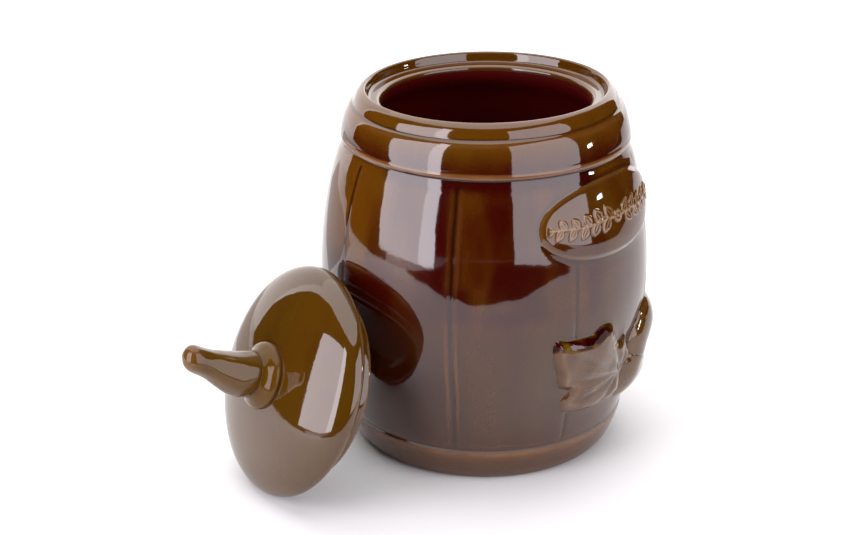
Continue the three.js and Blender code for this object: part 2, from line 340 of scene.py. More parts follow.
def leaf_height(q):
    d = inwards(q, leaf_edge)
    ramp = 5.2 + 5.0 * ease((q[:, 0] + 6.0) / 6.0) + 3.0 * ease((4.0 - q[:, 1]) / 6.0) + 5.0 * ease((6.0 - q[:, 1]) / 6.0) * ease((-25.0 - q[:, 0]) / 8.0)
    x = np.clip(d / ramp, 0, 1)
    high = 3.0 * np.sin(x * math.pi / 2) + 0.5 * (1 - np.exp(-np.maximum(d, 0) / 8.0))
    vein = np.zeros(len(q))
    soft = np.full(len(q), 1e9)
    hub = np.array(LEAF_HUB)
    for tip in LEAF_VEINS:
        tip = np.array(tip, float)
        dist, along = to_segment(q, hub, hub + 0.86 * (tip - hub))
        vein = np.maximum(vein, bell(dist, 2.3 - 0.6 * along) * (1 - 0.6 * along))
        soft = np.minimum(soft, dist + 1.5 * along)
        way0 = (tip - hub) / np.hypot(*(tip - hub))
        for share in (0.45, 0.70):
            for turn in (0.62, -0.62):
                c, sn = math.cos(turn), math.sin(turn)
                way = np.array([way0[0] * c - way0[1] * sn, way0[0] * sn + way0[1] * c])
                start = hub + share * (tip - hub)
                dist2, along2 = to_segment(q, start, start + way * 0.26 * np.hypot(*(tip - hub)))
                vein = np.maximum(vein, 0.20 * bell(dist2, 2.0) * (1 - 0.7 * along2))
    inner = ease(d / 4.2)
    high = high + inner * (0.95 * (1 - bell(soft, 6.0)) - 0.80 * vein)
    return high, d, vein * inner


def gherkin_inside(g, s, t):
    """Distance inside a gherkin's edge, and how far out from its middle line a place is, 1 at the edge."""
    q = np.stack([s, t], -1).reshape(-1, 2)
    depth, out = np.full(len(q), -60.0), np.full(len(q), 60.0)
    for (s0, t0, r0), (s1, t1, r1) in zip(g["line"][:-1], g["line"][1:]):
        dist, along = to_segment(q, (s0, t0), (s1, t1))
        r = r0 + (r1 - r0) * along
        depth, out = np.maximum(depth, r - dist), np.minimum(out, dist / r)
    return depth.reshape(np.shape(s)), out.reshape(np.shape(s))


def gherkin_height(which, s, t, points):
    """Both gherkins lie against each other: one skin over the two, parted along the crease between them."""
    other = "lower" if which == "upper" else "upper"
    own = []
    for key in (which, other):
        g = GHERKINS[key]
        d, q = gherkin_inside(g, s, t)
        own.append((d, g["height"] * np.clip(1 - q**2, 0, 1) ** g["power"]))
    d, h = own[0]
    h2 = own[1][1]
    both = (h**2.2 + h2**2.2) ** (1 / 2.2)
    crease = np.where((h > 0.3) & (h2 > 0.3), bell(h - h2, 0.9), 0.0)
    wart = np.clip(lumps(points, 6.0, 21) - 0.35, 0, 1)
    high = both - 1.8 * ease((h2 - h) / 1.2) - 0.2 * crease + 0.08 * wart * ease(d / 5.0)
    return high, d, crease


def foot_of(d, height=0.6, reach=0.8):
    """The clay worked up round a relief's edge: rises towards it and runs on under it."""
    return height * np.exp(np.minimum(d, 0) / reach)


def barrel_relief(b, z):
    """What the wall itself carries, in millimetres, with its thin-glaze marks and its marks of glaze pooled in the
    joints and of painted shade round the reliefs.
    """
    lift = np.zeros_like(b)
    thin = np.zeros_like(b)
    pool_and_shade = np.zeros_like(b)
    ends = ease((z - 20.6) / 2.4) * ease((164.3 - z) / 2.5)
    r = wall_radius(z)
    for k, centre in enumerate(STAVES):
        gap = (b - math.radians(centre) + math.pi) % (2 * math.pi) - math.pi
        near = np.abs(gap) < 0.12
        s = gap[near] * r[near]
        zz = z[near]
        s = s + 0.35 * np.sin(zz / 17.0 + 1.7 * k) + 0.12 * np.sin(zz / 5.3 + 0.9 * k)
        e = ends[near]
        cut = bell(s, 1.0)
        low = ease((100.0 - zz) / 15.0)
        lift[near] -= e * (0.12 + 0.34 * low) * bell(s, 1.4 - 0.2 * low)
        fade = 0.70 + 0.30 * np.sin(zz / 11.0 + 2.1 * k)
        side = np.where(s > 0, 0.55, 0.30) * (1 - low) + 1.25 * low
        thin[near] = np.maximum(thin[near], e * STAVE_PALE[k] * fade * side * bell(np.abs(s) - 2.5, 1.0))
        pool_and_shade[near] = np.maximum(pool_and_shade[near], e * 0.95 * cut)

    def under(centre, radius, height, box, field):
        s = ((b - math.radians(centre) + math.pi) % (2 * math.pi) - math.pi) * radius
        t = z - height
        near = (np.abs(s) < box[0]) & (np.abs(t) < box[1])
        d = np.full_like(b, -60.0)
        if near.any():
            d[near] = field(s[near], t[near])
        return d

    d1 = under(0.0, PLAQUE_R, PLAQUE["z"], (56, 27), plaque_inside)
    d2 = under(LEAF["bearing"], LEAF_R, LEAF["z"], (58, 44), lambda s, t: inwards(np.stack([s, t], 1), leaf_edge))
    d3 = under(
        LEAF["bearing"], LEAF_R, LEAF["z"], (80, 40),
        lambda s, t: np.maximum(gherkin_inside(GHERKINS["upper"], s, t)[0], gherkin_inside(GHERKINS["lower"], s, t)[0]),
    )
    # Painted shade: a dark ring on the wall just outside each relief's edge.
    for d, height, reach, dark in ((d1, 0.28, 1.0, 0.75), (d2, 0.40, 2.0, 0.50), (d3, 0.40, 1.2, 0.40)):
        covered = ease((d + 1.2) / 1.2)
        lift = lift * (1 - covered) + foot_of(d, height, reach) * np.where(d > -8, 1.0, 0.0)
        thin = thin * (1 - covered)
        pool_and_shade = np.maximum(pool_and_shade * (1 - covered), dark * bell(d + 0.3, reach))
    return lift, thin, pool_and_shade


# ------------------------------------------------------------------ glaze


def glaze(name, amber, olive, brown, tan=(0.22, 0.092, 0.034), streak=(-0.20, 0.24), ior=1.65, painted_dark_and_inside=(0.040, 0.0012, 0.0005)):
    """Amber-brown glaze: tan where it thins on edges, darker reddish brown where shade is painted in (with random
    runs), a painted dark colour for painted dark reflection and shade (and the inside's own dark colour), near black
    where glaze pools in grooves and where shade is painted in.
    """
    m = bpy.data.materials.new(name)
    m.use_nodes = True
    nodes, links = m.node_tree.nodes, m.node_tree.links
    nodes.clear()
    out = nodes.new("ShaderNodeOutputMaterial")
    bsdf = nodes.new("ShaderNodeBsdfPrincipled")
    links.new(bsdf.outputs[0], out.inputs[0])
    bsdf.inputs["IOR"].default_value = ior
    bsdf.inputs["Metallic"].default_value = 0.0

    place = nodes.new("ShaderNodeTexCoord")

    def noise(scale, detail, rough, stretch=None):
        n = nodes.new("ShaderNodeTexNoise")
        n.inputs["Scale"].default_value = scale
        n.inputs["Detail"].default_value = detail
        n.inputs["Roughness"].default_value = rough
        if stretch:
            mapping = nodes.new("ShaderNodeMapping")
            mapping.inputs["Scale"].default_value = stretch
            links.new(place.outputs["Object"], mapping.inputs["Vector"])
            links.new(mapping.outputs[0], n.inputs["Vector"])
        else:
            links.new(place.outputs["Object"], n.inputs["Vector"])
        return n.outputs["Fac"]

    def mark(key):
        n = nodes.new("ShaderNodeAttribute")
        n.attribute_name = key
        return n.outputs["Fac"]

    def span(value, lo, hi, to_lo=0.0, to_hi=1.0):
        n = nodes.new("ShaderNodeMapRange")
        n.inputs["From Min"].default_value = lo
        n.inputs["From Max"].default_value = hi
        n.inputs["To Min"].default_value = to_lo
        n.inputs["To Max"].default_value = to_hi
        links.new(value, n.inputs["Value"])
        return n.outputs["Result"]

    def calc(kind, a, b):
        n = nodes.new("ShaderNodeMath")
        n.operation = kind
        n.use_clamp = True
        for socket, value in zip(n.inputs, (a, b)):
            if isinstance(value, (int, float)):
                socket.default_value = value
            else:
                links.new(value, socket)
        return n.outputs[0]

    def mix(factor, a, b):
        n = nodes.new("ShaderNodeMix")
        n.data_type = "RGBA"
        n.blend_type = "MIX"
        for key, value in (("Factor_Float", factor), ("A_Color", a), ("B_Color", b)):
            socket = next(x for x in n.inputs if x.identifier == key)
            if isinstance(value, tuple):
                socket.default_value = (*value, 1.0)
            else:
                links.new(value, socket)
        return next(x for x in n.outputs if x.identifier == "Result_Color")

    broad = noise(22.0, 3.0, 0.55)
    runs = noise(60.0, 4.0, 0.6, (1.0, 1.0, 0.18))
    grain = noise(900.0, 3.0, 0.6)
    pooled_and_shaded = (0.008, 0.0011, 0.0004)

    colour = mix(span(broad, 0.38, 0.62), amber, olive)
    # Painted shade: the mark read here, with random runs added, mixes the glaze towards the darker brown.
    shade_and_runs = calc("ADD", mark("shade_and_runs"), span(runs, 0.40, 0.66, *streak))
    colour = mix(shade_and_runs, colour, brown)
    # Painted dark reflection and shade on the outer wall and the leaf's upper edge; on the inside, the inside's own
    # dark colour.
    colour = mix(mark("painted_dark_and_inside"), colour, painted_dark_and_inside)
    # Near black: glaze pooled in grooves and joints, and painted shade in the notch, the crease and round the reliefs.
    colour = mix(calc("MULTIPLY", mark("pool_and_shade"), 0.88), colour, pooled_and_shaded)
    colour = mix(calc("MULTIPLY", mark("thin"), span(grain, 0.3, 0.7, 0.72, 1.0)), colour, tan)
    links.new(colour, bsdf.inputs["Base Color"])
    rough = calc("ADD", span(broad, 0.3, 0.7, 0.03, 0.06), calc("MULTIPLY", mark("dull"), 0.55))
    links.new(rough, bsdf.inputs["Roughness"])

    skin = noise(190.0, 2.0, 0.5)
    bump = nodes.new("ShaderNodeBump")
    bump.inputs["Strength"].default_value = 0.35
    bump.inputs["Distance"].default_value = 0.00006
    links.new(skin, bump.inputs["Height"])
    peel = nodes.new("ShaderNodeBump")
    peel.inputs["Strength"].default_value = 0.12
    peel.inputs["Distance"].default_value = 0.00002
    links.new(grain, peel.inputs["Height"])
    links.new(bump.outputs[0], peel.inputs["Normal"])
    links.new(peel.outputs[0], bsdf.inputs["Normal"])
    return m


BODY = glaze("body_glaze", (0.092, 0.0280, 0.0009), (0.083, 0.0295, 0.0011), (0.0355, 0.0022, 0.0004), streak=(-0.16, 0.16), painted_dark_and_inside=(0.028, 0.0006, 0.0003))
INSIDE = glaze("inside_glaze", (0.060, 0.0060, 0.0005), (0.055, 0.0050, 0.0005), (0.050, 0.0010, 0.0003), ior=1.22, painted_dark_and_inside=(0.082, 0.0007, 0.0003))
RELIEF = glaze("relief_glaze", (0.082, 0.0275, 0.0010), (0.074, 0.0285, 0.0012), (0.0400, 0.0036, 0.0004), (0.30, 0.150, 0.052), (-0.30, 0.30))
# Painted dark reflection: a lighter olive glaze with a weak reflection for the leaf's upper edge.
BROW_REFLECTION = glaze("brow_painted_reflection", (0.130, 0.0600, 0.0018), (0.110, 0.0560, 0.0020), (0.0300, 0.0020, 0.0004), streak=(-0.30, 0.30), ior=1.24, painted_dark_and_inside=(0.020, 0.0006, 0.0003))
LID_GLAZE = glaze("lid_glaze", (0.068, 0.0262, 0.0012), (0.062, 0.0268, 0.0014), (0.0390, 0.0060, 0.0005))
KNOB = glaze("knob_glaze", (0.086, 0.0360, 0.0011), (0.078, 0.0365, 0.0013), (0.0500, 0.0120, 0.0006), ior=1.46)
COLLAR = glaze("collar_glaze", (0.086, 0.0360, 0.0011), (0.078, 0.0365, 0.0013), (0.0500, 0.0120, 0.0006), ior=1.33)


def finish_piece(piece, body, node, material):
    piece.data.materials.append(material)
    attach(piece, body)
    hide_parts(node)
    return piece


# ------------------------------------------------------------------ crock

lines = walk(outer, 0.34, 1.15, 0.11)
rows = np.vstack([[(0.0, 0.0), (26.0, 0.0), (50.0, 0.0), (62.0, 0.0)], lines, [(0.0, 8.6)]])
top_row = int(np.argmax(rows[:, 1]))

bearings = list(np.arange(-180.0, 180.0, 1.3))
for centre in STAVES:
    bearings += list(centre + np.arange(-3.0, 3.01, 0.3))
bearings += list(np.arange(-37.0, 57.0, 0.55))
bearings = np.sort((np.array(bearings) + 180.0) % 360.0 - 180.0)
kept = [bearings[0]]
for x in bearings[1:]:
    if x - kept[-1] > 0.24:
        kept.append(x)
cols = np.radians(np.array(kept))

R, B = np.meshgrid(rows[:, 0], cols, indexing="ij")
Z = np.meshgrid(rows[:, 1], cols, indexing="ij")[0]
on_outside = np.zeros(R.shape, bool)
on_outside[: top_row + 1] = True
wallish = on_outside & (Z > 20.5) & (Z < 162.5)
lift, thin, pool_and_shade = np.zeros(R.shape), np.zeros(R.shape), np.zeros(R.shape)
lift[wallish], thin[wallish], pool_and_shade[wallish] = barrel_relief(B[wallish], Z[wallish])
shaky = ease((Z - 1.0) / 6.0) * ease(R / 30.0)
R2 = R + lift + uneven(B, Z) * shaky
across = R2 * np.sin(B + math.radians(50.2))
sway = 0.0145 * across * ease((Z - 172.0) / 14.0)  # the lip isn't quite level
rings = np.stack([R2 * np.sin(B), -R2 * np.cos(B), Z + sway], -1)
rings[0], rings[-1] = rings[0, :1], rings[-1, :1]


def spot(r0, z0, width):
    return bell(np.hypot(R - r0, Z - z0), width)


flat = np.stack([R2 * np.sin(B), -R2 * np.cos(B), Z], -1).reshape(-1, 3)
patchy = (0.75 + 0.25 * lumps(flat, 9.0, 31)).reshape(R.shape)
thin = np.maximum(thin, patchy * 0.80 * spot(75.4, 168.0, 1.15))
thin = np.maximum(thin, patchy * 0.72 * spot(76.3, 17.0, 1.5))
thin = np.maximum(thin, patchy * 0.16 * spot(76.8, 22.4, 1.2))
thin = np.maximum(thin, patchy * 0.30 * spot(69.8, 1.4, 1.0))
thin = np.maximum(thin, patchy * 0.35 * spot(64.2, 191.7, 1.5))
thin = np.maximum(thin, patchy * 0.30 * spot(71.0, 182.7, 1.1))
thin = np.maximum(thin, patchy * 0.30 * spot(55.2, 185.6, 0.9))
# Glaze pooled in the foot groove; darker towards the foot; painted shade in the notch under the hoop, at the band's
# lower edge and in the crease under the lip.
pool_and_shade = np.maximum(pool_and_shade, 0.85 * spot(75.95, 19.7, 0.95))
pool_and_shade = np.maximum(pool_and_shade, 0.30 * on_outside * ease((15.0 - Z) / 4.0))
pool_and_shade = np.maximum(pool_and_shade, 0.55 * spot(74.3, 165.6, 0.8))
pool_and_shade = np.maximum(pool_and_shade, 0.20 * spot(75.02, 170.2, 0.5))
pool_and_shade = np.maximum(pool_and_shade, 0.65 * spot(69.1, 184.75, 0.7))
inside = np.zeros(R.shape)
inside[top_row:] = 1.0
inside *= ease((185.0 - Z) / 3.0)
turned = (np.degrees(B) + 50.2 + 180.0) % 360.0 - 180.0
wall_part = ease((Z - 14.0) / 8.0) * ease((168.0 - Z) / 1.5) * on_outside
# Painted shade: below the hoop the wall is mixed towards the darker brown, more so higher up and left of one joint, and
# less on the left side and the upper sides that face the softboxes and on the lower front that the floor lights; tall
# random runs are added.
lit_left_side = bell(turned + 62, 26) * ease((Z - 106) / 22)
lit_low_front = 0.36 * ease((121 - Z) / 10) * bell(turned - 3, 30) * ease((Z - 98) / 8)
left_of_joint = bell(turned + 17.5, 3.6) * ease((Z - 95) / 20)
shade_by_height = np.interp(Z, [60, 84, 98, 125, 150, 158, 161.5], [0.60, 0.62, 0.86, 0.84, 0.80, 0.70, 1.0])
# Darker on the lower wall.
pool_and_shade = np.maximum(pool_and_shade, 0.36 * wall_part * ease((96 - Z) / 14))
lit_upper_sides = ease((np.abs(turned) - 38) / 8) * ease((Z - 148) / 10)
tall = (0.55 * lumps(flat * (1, 1, 0.16), 6.5, 91) + 0.50 * lumps(flat * (1, 1, 0.11), 13.0, 93)).reshape(R.shape)
shade_and_runs = wall_part * (shade_by_height - 0.60 * lit_left_side - lit_low_front + 0.30 * left_of_joint - 0.70 * lit_upper_sides + 0.42 * tall * ease((Z - 86) / 16))
# Painted shade on the shoulder band: darker towards its lower edge, none at its top, which faces up.
band_part = on_outside * (Z > 169.4) * (Z < 184.0)
shade_and_runs = np.maximum(shade_and_runs, band_part * np.interp(Z, [170.5, 174.0, 181.5], [0.95, 0.75, 0.0]))
# Painted dark reflection and shade on the outer wall: shade under the hoop at the front, the lid's dark reflection on
# the wall beside it, a dark window on the front with an uneven top edge, gaps and a streak, and more left of one joint.
# The inside keeps its own dark colour.
painted_dark_and_inside = np.maximum(inside, 0.85 * wall_part * ease((Z - 160.0) / 2.5) * ease((46 - np.abs(turned)) / 8))
painted_dark_and_inside = np.maximum(painted_dark_and_inside, 0.94 * wall_part * bell(turned + 50, 26) * ease((122 - Z) / 16) * ease((Z - 40) / 16))
window_gaps = (1 - bell(turned + 3.4, 2.8)) * (1 - 0.8 * bell(turned - 5, 4) * bell(Z - 104, 4))
reach_up = 123 + 13 * ease((turned + 1) / 5) + 5 * tall
painted_dark_and_inside = np.maximum(painted_dark_and_inside, 0.90 * wall_part * ease((reach_up - Z) / 12) * ease((Z - 92) / 8) * ease((24 - np.abs(turned)) / 8) * window_gaps)
painted_dark_and_inside = np.maximum(painted_dark_and_inside, 0.50 * wall_part * bell(turned - 6.5, 4.0) * ease((Z - 100) / 10))
painted_dark_and_inside = np.maximum(painted_dark_and_inside, 0.85 * wall_part * left_of_joint)
blotchy = (0.5 + 0.5 * lumps(flat * (1, 1, 0.4), 16.0, 95)).reshape(R.shape)
thin = np.maximum(thin, 0.06 * blotchy * wall_part * ease((96 - Z) / 20))
dull = inside
barrel = shell("barrel_shell", rings, {"thin": thin, "pool_and_shade": pool_and_shade, "shade_and_runs": shade_and_runs, "painted_dark_and_inside": painted_dark_and_inside, "dull": dull})
finish_piece(barrel, "crock", "crock_barrel", BODY)
barrel.data.materials.append(INSIDE)
within = np.zeros(len(barrel.data.vertices), np.float32)
barrel.data.attributes["dull"].data.foreach_get("value", within)
corner = np.zeros(len(barrel.data.loops), np.int32)
barrel.data.loops.foreach_get("vertex_index", corner)
first = np.zeros(len(barrel.data.polygons), np.int32)
barrel.data.polygons.foreach_get("loop_start", first)
barrel.data.polygons.foreach_set("material_index", (within[corner[first]] > 0.6).astype(np.int32))

# ---- plaque: a low pillow with a garland of small leaves

nu, nv = 230, 92
u, v = np.meshgrid(np.linspace(-1, 1, nu), np.linspace(-1, 1, nv))
u = 0.75 * u + 0.25 * np.sin(u * math.pi / 2)
v = 0.75 * v + 0.25 * np.sin(v * math.pi / 2)
x, y = u * np.sqrt(1 - v * v / 2), v * np.sqrt(1 - u * u / 2)
ang = np.arctan2(y, x)
n = PLAQUE["power"]
swell = (np.abs(np.cos(ang)) ** n + np.abs(np.sin(ang)) ** n) ** (-1 / n) * 1.006
s, t = PLAQUE["half_width"] * x * swell, PLAQUE["half_height"] * y * swell
high, d = plaque_height(s.ravel(), t.ravel())
g_high, g_line, g_hollow = garland(s.ravel(), t.ravel())
clear = ease((d - 3.6) / 2.0)
b = math.radians(PLAQUE["bearing"]) + s.ravel() / PLAQUE_R
z = PLAQUE["z"] + t.ravel()
rise = np.where(d < 0.05, -0.15, 0.18 + high + g_high * clear) + uneven(b, z)
top = on_wall(b, z, rise).reshape(nv, nu, 3)
under = on_wall(np.array([math.radians(PLAQUE["bearing"])]), np.array([PLAQUE["z"]]), np.array([-2.2]))
edge_line = 0.18 * bell(d - 1.2, 0.8)
plaque = pad(
    "plaque_relief", top, under,
    {
        "thin": np.maximum(g_line * clear, edge_line).reshape(nv, nu),
        "pool_and_shade": (0.35 * g_hollow * clear).reshape(nv, nu),
        # painted shade, darker towards the plaque's lower edge
        "shade_and_runs": (0.30 + 0.35 * ease((4 - t.ravel()) / 14)).reshape(nv, nu),
    },
)
finish_piece(plaque, "crock", "plaque", RELIEF)


def sprig(name, edge, middle, shares, field):
    """A relief grown from its middle out to an edge line, sunk a little into the wall at its rim."""
    count = len(edge)

    def grow(share):
        s = middle[0] + share[:, None] * (edge[None, :, 0] - middle[0])
        t = middle[1] + share[:, None] * (edge[None, :, 1] - middle[1])
        return s, t, math.radians(LEAF["bearing"]) + s / LEAF_R, LEAF["z"] + t

    grid_s, grid_t, b, z = grow(shares)
    rise, marks = field(grid_s.ravel(), grid_t.ravel(), b.ravel(), z.ravel())
    rise = rise.reshape(grid_s.shape) + uneven(b, z)
    marks = {k: m.reshape(grid_s.shape) for k, m in marks.items()}
    tops = on_wall(b, z, rise)
    low = np.array([0.0, 0.35, 0.7, 1.0])
    _, _, low_b, low_z = grow(low * 1.004)
    lows = on_wall(low_b, low_z, np.full((len(low), count), -0.55))
    rings = np.concatenate([lows, tops[::-1]])
    marks = {k: np.concatenate([np.zeros((len(low), count)), m[::-1]]) for k, m in marks.items()}
    return shell(name, rings, marks)


def second_coat(piece, mark, level, material):
    """Give the faces where a mark is high another glaze."""
    data = piece.data
    value = np.zeros(len(data.vertices), np.float32)
    data.attributes[mark].data.foreach_get("value", value)
    corners = np.zeros(len(data.loops), np.int32)
    data.loops.foreach_get("vertex_index", corners)
    starts = np.zeros(len(data.polygons), np.int32)
    data.polygons.foreach_get("loop_start", starts)
    data.materials.append(material)
    data.polygons.foreach_set("material_index", (value[corners[starts]] > level).astype(np.int32))


def even(edge, count):
    closed = np.vstack([edge, edge[:1]])
    run = np.r_[0, np.cumsum(np.hypot(*np.diff(closed, axis=0).T))]
    at = np.linspace(0, run[-1], count, endpoint=False)
    return np.stack([np.interp(at, run, closed[:, k]) for k in range(2)], 1)


def leaf_field(s, t, b, z):
    high, d, vein = leaf_height(np.stack([s, t], 1))
    p = on_wall(b, z, 0 * z)
    soft = (0.66 * lumps(p, 13.0, 41) + 0.42 * lumps(p, 7.5, 45)) * ease(d / 6.0) + 0.50 * lumps(p, 5.0, 43) * bell(d - 2.6, 2.2) * ease((t - 14.0) / 6.0)
    rise = np.where(d < 0.02, 0.1, 0.15 + 0.25 * ease(d / 0.8) + high + soft)
    thin = 0.16 * bell(d - 4.6, 1.6) + 0.04 * (1 - vein) * ease(d / 3) + 0.10 * np.clip(lumps(p, 6.0, 47), 0, 1) * ease(d / 3)
    brow = np.interp(
        s, [-47, -45, -39.6, -33, -25.4, -21.5, -18, -12, -9.5, -7.4, -4.2, 0.5, 3.4, 5.2],
        [31, 33.2, 30.9, 31, 30.6, 33, 35.2, 33.8, 30.8, 25.2, 19.5, 23.5, 20.5, 16],
    )
    upper = ease((t - 17.0) / 6.0) * ease((6.5 - (brow - t)) / 2.0)  # painted dark reflection along the upper edge; painted shade over the rest of the leaf
    return rise, {"thin": thin * (1 - upper), "pool_and_shade": np.maximum(0.30 * vein * (1 - upper), 0.10 * upper), "shade_and_runs": 0.45 - 0.45 * upper, "painted_dark_and_inside": upper * np.clip(0.5 + 1.3 * lumps(p, 4.0, 49), 0, 1), "reflection_coat": upper * (lumps(p, 3.2, 53) < 0.55)}


def gherkin_field(which):
    def field(s, t, b, z):
        p = on_wall(b, z, 0 * z)
        high, d, crease = gherkin_height(which, s, t, p)
        rise = np.where(d < 0.02, 0.1, 0.15 + 0.2 * ease(d / 0.8) + high)
        return rise, {"thin": 0.12 * bell(d - 2.0, 1.5), "pool_and_shade": 0.2 * crease, "shade_and_runs": 0.1 + 0 * d}

    return field


leaf_shares = np.r_[0.0, np.linspace(0.02, 0.86, 44), np.linspace(0.872, 0.985, 12), 0.993, 0.998, 1.003]
leaf = sprig("leaf_relief", even(leaf_edge, 330), LEAF["middle"], leaf_shares, leaf_field)
finish_piece(leaf, "crock", "leaf_sprig", RELIEF)
# Painted dark reflection: faces along the leaf's upper edge get the lighter olive glaze.
second_coat(leaf, "reflection_coat", 0.5, BROW_REFLECTION)

turns = np.linspace(0, 2 * math.pi, 360, endpoint=False)
gherkin_shares = np.r_[0.0, np.sin(np.linspace(0.03, math.pi / 2, 48)), 1.004]
for which, g in GHERKINS.items():
    middle = (0.5 * (g["line"][0][0] + g["line"][-1][0]), 0.5 * (g["line"][0][1] + g["line"][-1][1]))
    near, far = np.zeros(len(turns)), np.full(len(turns), 60.0)
    for _ in range(40):  # the edge in each direction from the middle
        reach = 0.5 * (near + far)
        within = gherkin_inside(g, middle[0] + reach * np.cos(turns), middle[1] + reach * np.sin(turns))[0] > 0
        near, far = np.where(within, reach, near), np.where(within, far, reach)
    rim = np.stack([middle[0] + near * np.cos(turns), middle[1] + near * np.sin(turns)], 1)
    piece = sprig(which + "_gherkin_relief", even(rim, 180), middle, gherkin_shares, gherkin_field(which))
    finish_piece(piece, "crock", which + "_gherkin", RELIEF)

# ------------------------------------------------------------------ lid


def lid_place(x, y, h):
    return LID_CENTRE + x[..., None] * LID_ACROSS + y[..., None] * LID_SLOPE + h[..., None] * LID_UP


def dome(r):
    return LID["dome"] * np.sqrt(np.clip(1 - (r / LID["radius"]) ** 2, 0, 1))


arc = np.linspace(0.012, math.pi / 2 - 0.02, 90)
over = [(LID["radius"] * math.cos(q), LID["dome"] * math.sin(q)) for q in arc]
skirt = cut_corners(LID_UNDER + [(59.3, -0.5)] + over[:1], 4)
profile = np.vstack([skirt, over[1:]])
profile = walk(profile, 0.36, 1.25, 0.11)
profile = np.vstack([[(0.0, 14.0)], profile, [(0.0, LID["dome"])]])
turns = np.linspace(0, 2 * math.pi, 220, endpoint=False)
LR, LT = np.meshgrid(profile[:, 0], turns, indexing="ij")
LH = np.meshgrid(profile[:, 1], turns, indexing="ij")[0]
local = np.stack([LR * np.cos(LT), LR * np.sin(LT), LH], -1).reshape(-1, 3)
wave = (0.10 * lumps(local, 26.0, 51) + 0.03 * lumps(local, 11.0, 53)).reshape(LR.shape)
on_top = np.arange(len(profile))[:, None] > int(np.argmax(profile[:, 0]))
swell = wave * on_top * ease((LH - 0.5) / 4.0)
rings = lid_place(LR * np.cos(LT), LR * np.sin(LT), LH + swell)
rings[0], rings[-1] = rings[0, :1], rings[-1, :1]
patchy = (0.75 + 0.25 * lumps(local, 8.0, 57)).reshape(LR.shape)
hollow = (~on_top) * 1.0
lid_thin = patchy * 0.75 * bell(np.hypot(LR - 49.7, LH + 11.7), 0.9)
lid_thin = np.maximum(lid_thin, patchy * 0.45 * bell(np.hypot(LR - 59.2, LH + 0.4), 1.0))
lid_pool = 0.85 * bell(np.hypot(LR - 49.1, LH + 4.4), 1.0)
lid_pool = np.maximum(lid_pool, 0.5 * bell(np.hypot(LR - 17.2, LH - dome(np.array(17.2))), 0.9))
# Painted shade under the lid, in its hollow.
lid_underside_shade = np.maximum(0.75 * hollow * (LR < 46.0), 0.0 * LR)
lid = shell("lid_dome", rings, {"thin": lid_thin, "pool_and_shade": lid_pool, "shade_and_runs": lid_underside_shade})
finish_piece(lid, "lid", "lid_cap", LID_GLAZE)

base = float(dome(np.array(16.3)))
collar_line = [
    (6.0, base - 2.2), (13.0, base - 2.2), (15.9, base - 2.0), (16.9, base - 1.0), (17.2, base + 0.3),
    (17.15, base + 1.5), (16.7, base + 2.6), (15.8, base + 3.6), (14.6, base + 4.6), (13.5, base + 5.5),
    (12.6, base + 6.5), (11.9, base + 7.6), (10.8, base + 8.2), (9.0, base + 8.2),
]
collar_profile = walk(cut_corners(collar_line, 4), 0.30, 0.9, 0.11)
collar_profile = np.vstack([[(0.0, base - 2.2)], collar_profile, [(0.0, base + 8.4)]])
turns = np.linspace(0, 2 * math.pi, 120, endpoint=False)
CR, CT = np.meshgrid(collar_profile[:, 0], turns, indexing="ij")
CH = np.meshgrid(collar_profile[:, 1], turns, indexing="ij")[0]
local = np.stack([CR * np.cos(CT), CR * np.sin(CT), CH], -1).reshape(-1, 3)
wobble = 1 + 0.012 * lumps(local, 9.0, 61).reshape(CR.shape)
rings = lid_place(CR * wobble * np.cos(CT), CR * wobble * np.sin(CT), CH)
rings[0], rings[-1] = rings[0, :1], rings[-1, :1]
patchy = (0.75 + 0.25 * lumps(local, 6.0, 63)).reshape(CR.shape)
collar_thin = patchy * 0.30 * bell(np.hypot(CR - 17.1, CH - base - 1.4), 1.3)
collar_pool = np.maximum(0.8 * bell(np.hypot(CR - 17.0, CH - base + 0.6), 0.8), 0.1 * bell(np.hypot(CR - 11.9, CH - base - 7.6), 0.6))
collar = shell("collar_ring", rings, {"thin": collar_thin, "pool_and_shade": collar_pool, "shade_and_runs": 0 * CR})
finish_piece(collar, "lid", "knob_collar", COLLAR)

line = cut_corners(STALK, 4)
line = walk(line, 0.35, 1.0, 0.12)
line = np.vstack([[(0.0, line[0, 1], 0.0)], line, [(0.0, 65.8, 4.0)]])
turns = np.linspace(0, 2 * math.pi, 96, endpoint=False)
SR, ST = np.meshgrid(line[:, 0], turns, indexing="ij")
SH = np.meshgrid(line[:, 1], turns, indexing="ij")[0]
SO = np.meshgrid(line[:, 2], turns, indexing="ij")[0]
local = np.stack([SR * np.cos(ST), SR * np.sin(ST), SH], -1).reshape(-1, 3)
ribs = 1 + 0.024 * np.cos(5 * ST + 0.4 + 0.02 * SH) * ease((SH - 30) / 8) + 0.030 * lumps(local, 8.0, 71).reshape(SR.shape)
rings = lid_place(SR * ribs * np.cos(ST), SR * ribs * np.sin(ST) + SO, SH)
rings[0], rings[-1] = rings[0, :1], rings[-1, :1]
tip = ease((SH - 55) / 9)
stalk_pool = 0.2 * bell(SH - 27.2, 0.7)
stalk = shell("stalk_knob", rings, {"thin": 0.22 * tip, "pool_and_shade": stalk_pool, "shade_and_runs": 0 * SR})
finish_piece(stalk, "lid", "knob_stalk", KNOB)

# ------------------------------------------------------------------ studio

TURN = math.radians(-50.2)  # the studio is laid out square to the camera


def studio(x, y, z):
    c, sn = math.cos(TURN), math.sin(TURN)
    return (c * x - sn * y, sn * x + c * y, z)


def plain(name, colour, rough):
    m = bpy.data.materials.new(name)
    m.use_nodes = True
    p = m.node_tree.nodes["Principled BSDF"]
    p.inputs["Base Color"].default_value = (*colour, 1)
    p.inputs["Roughness"].default_value = rough
    p.inputs["Specular IOR Level"].default_value = 0.0
    return m


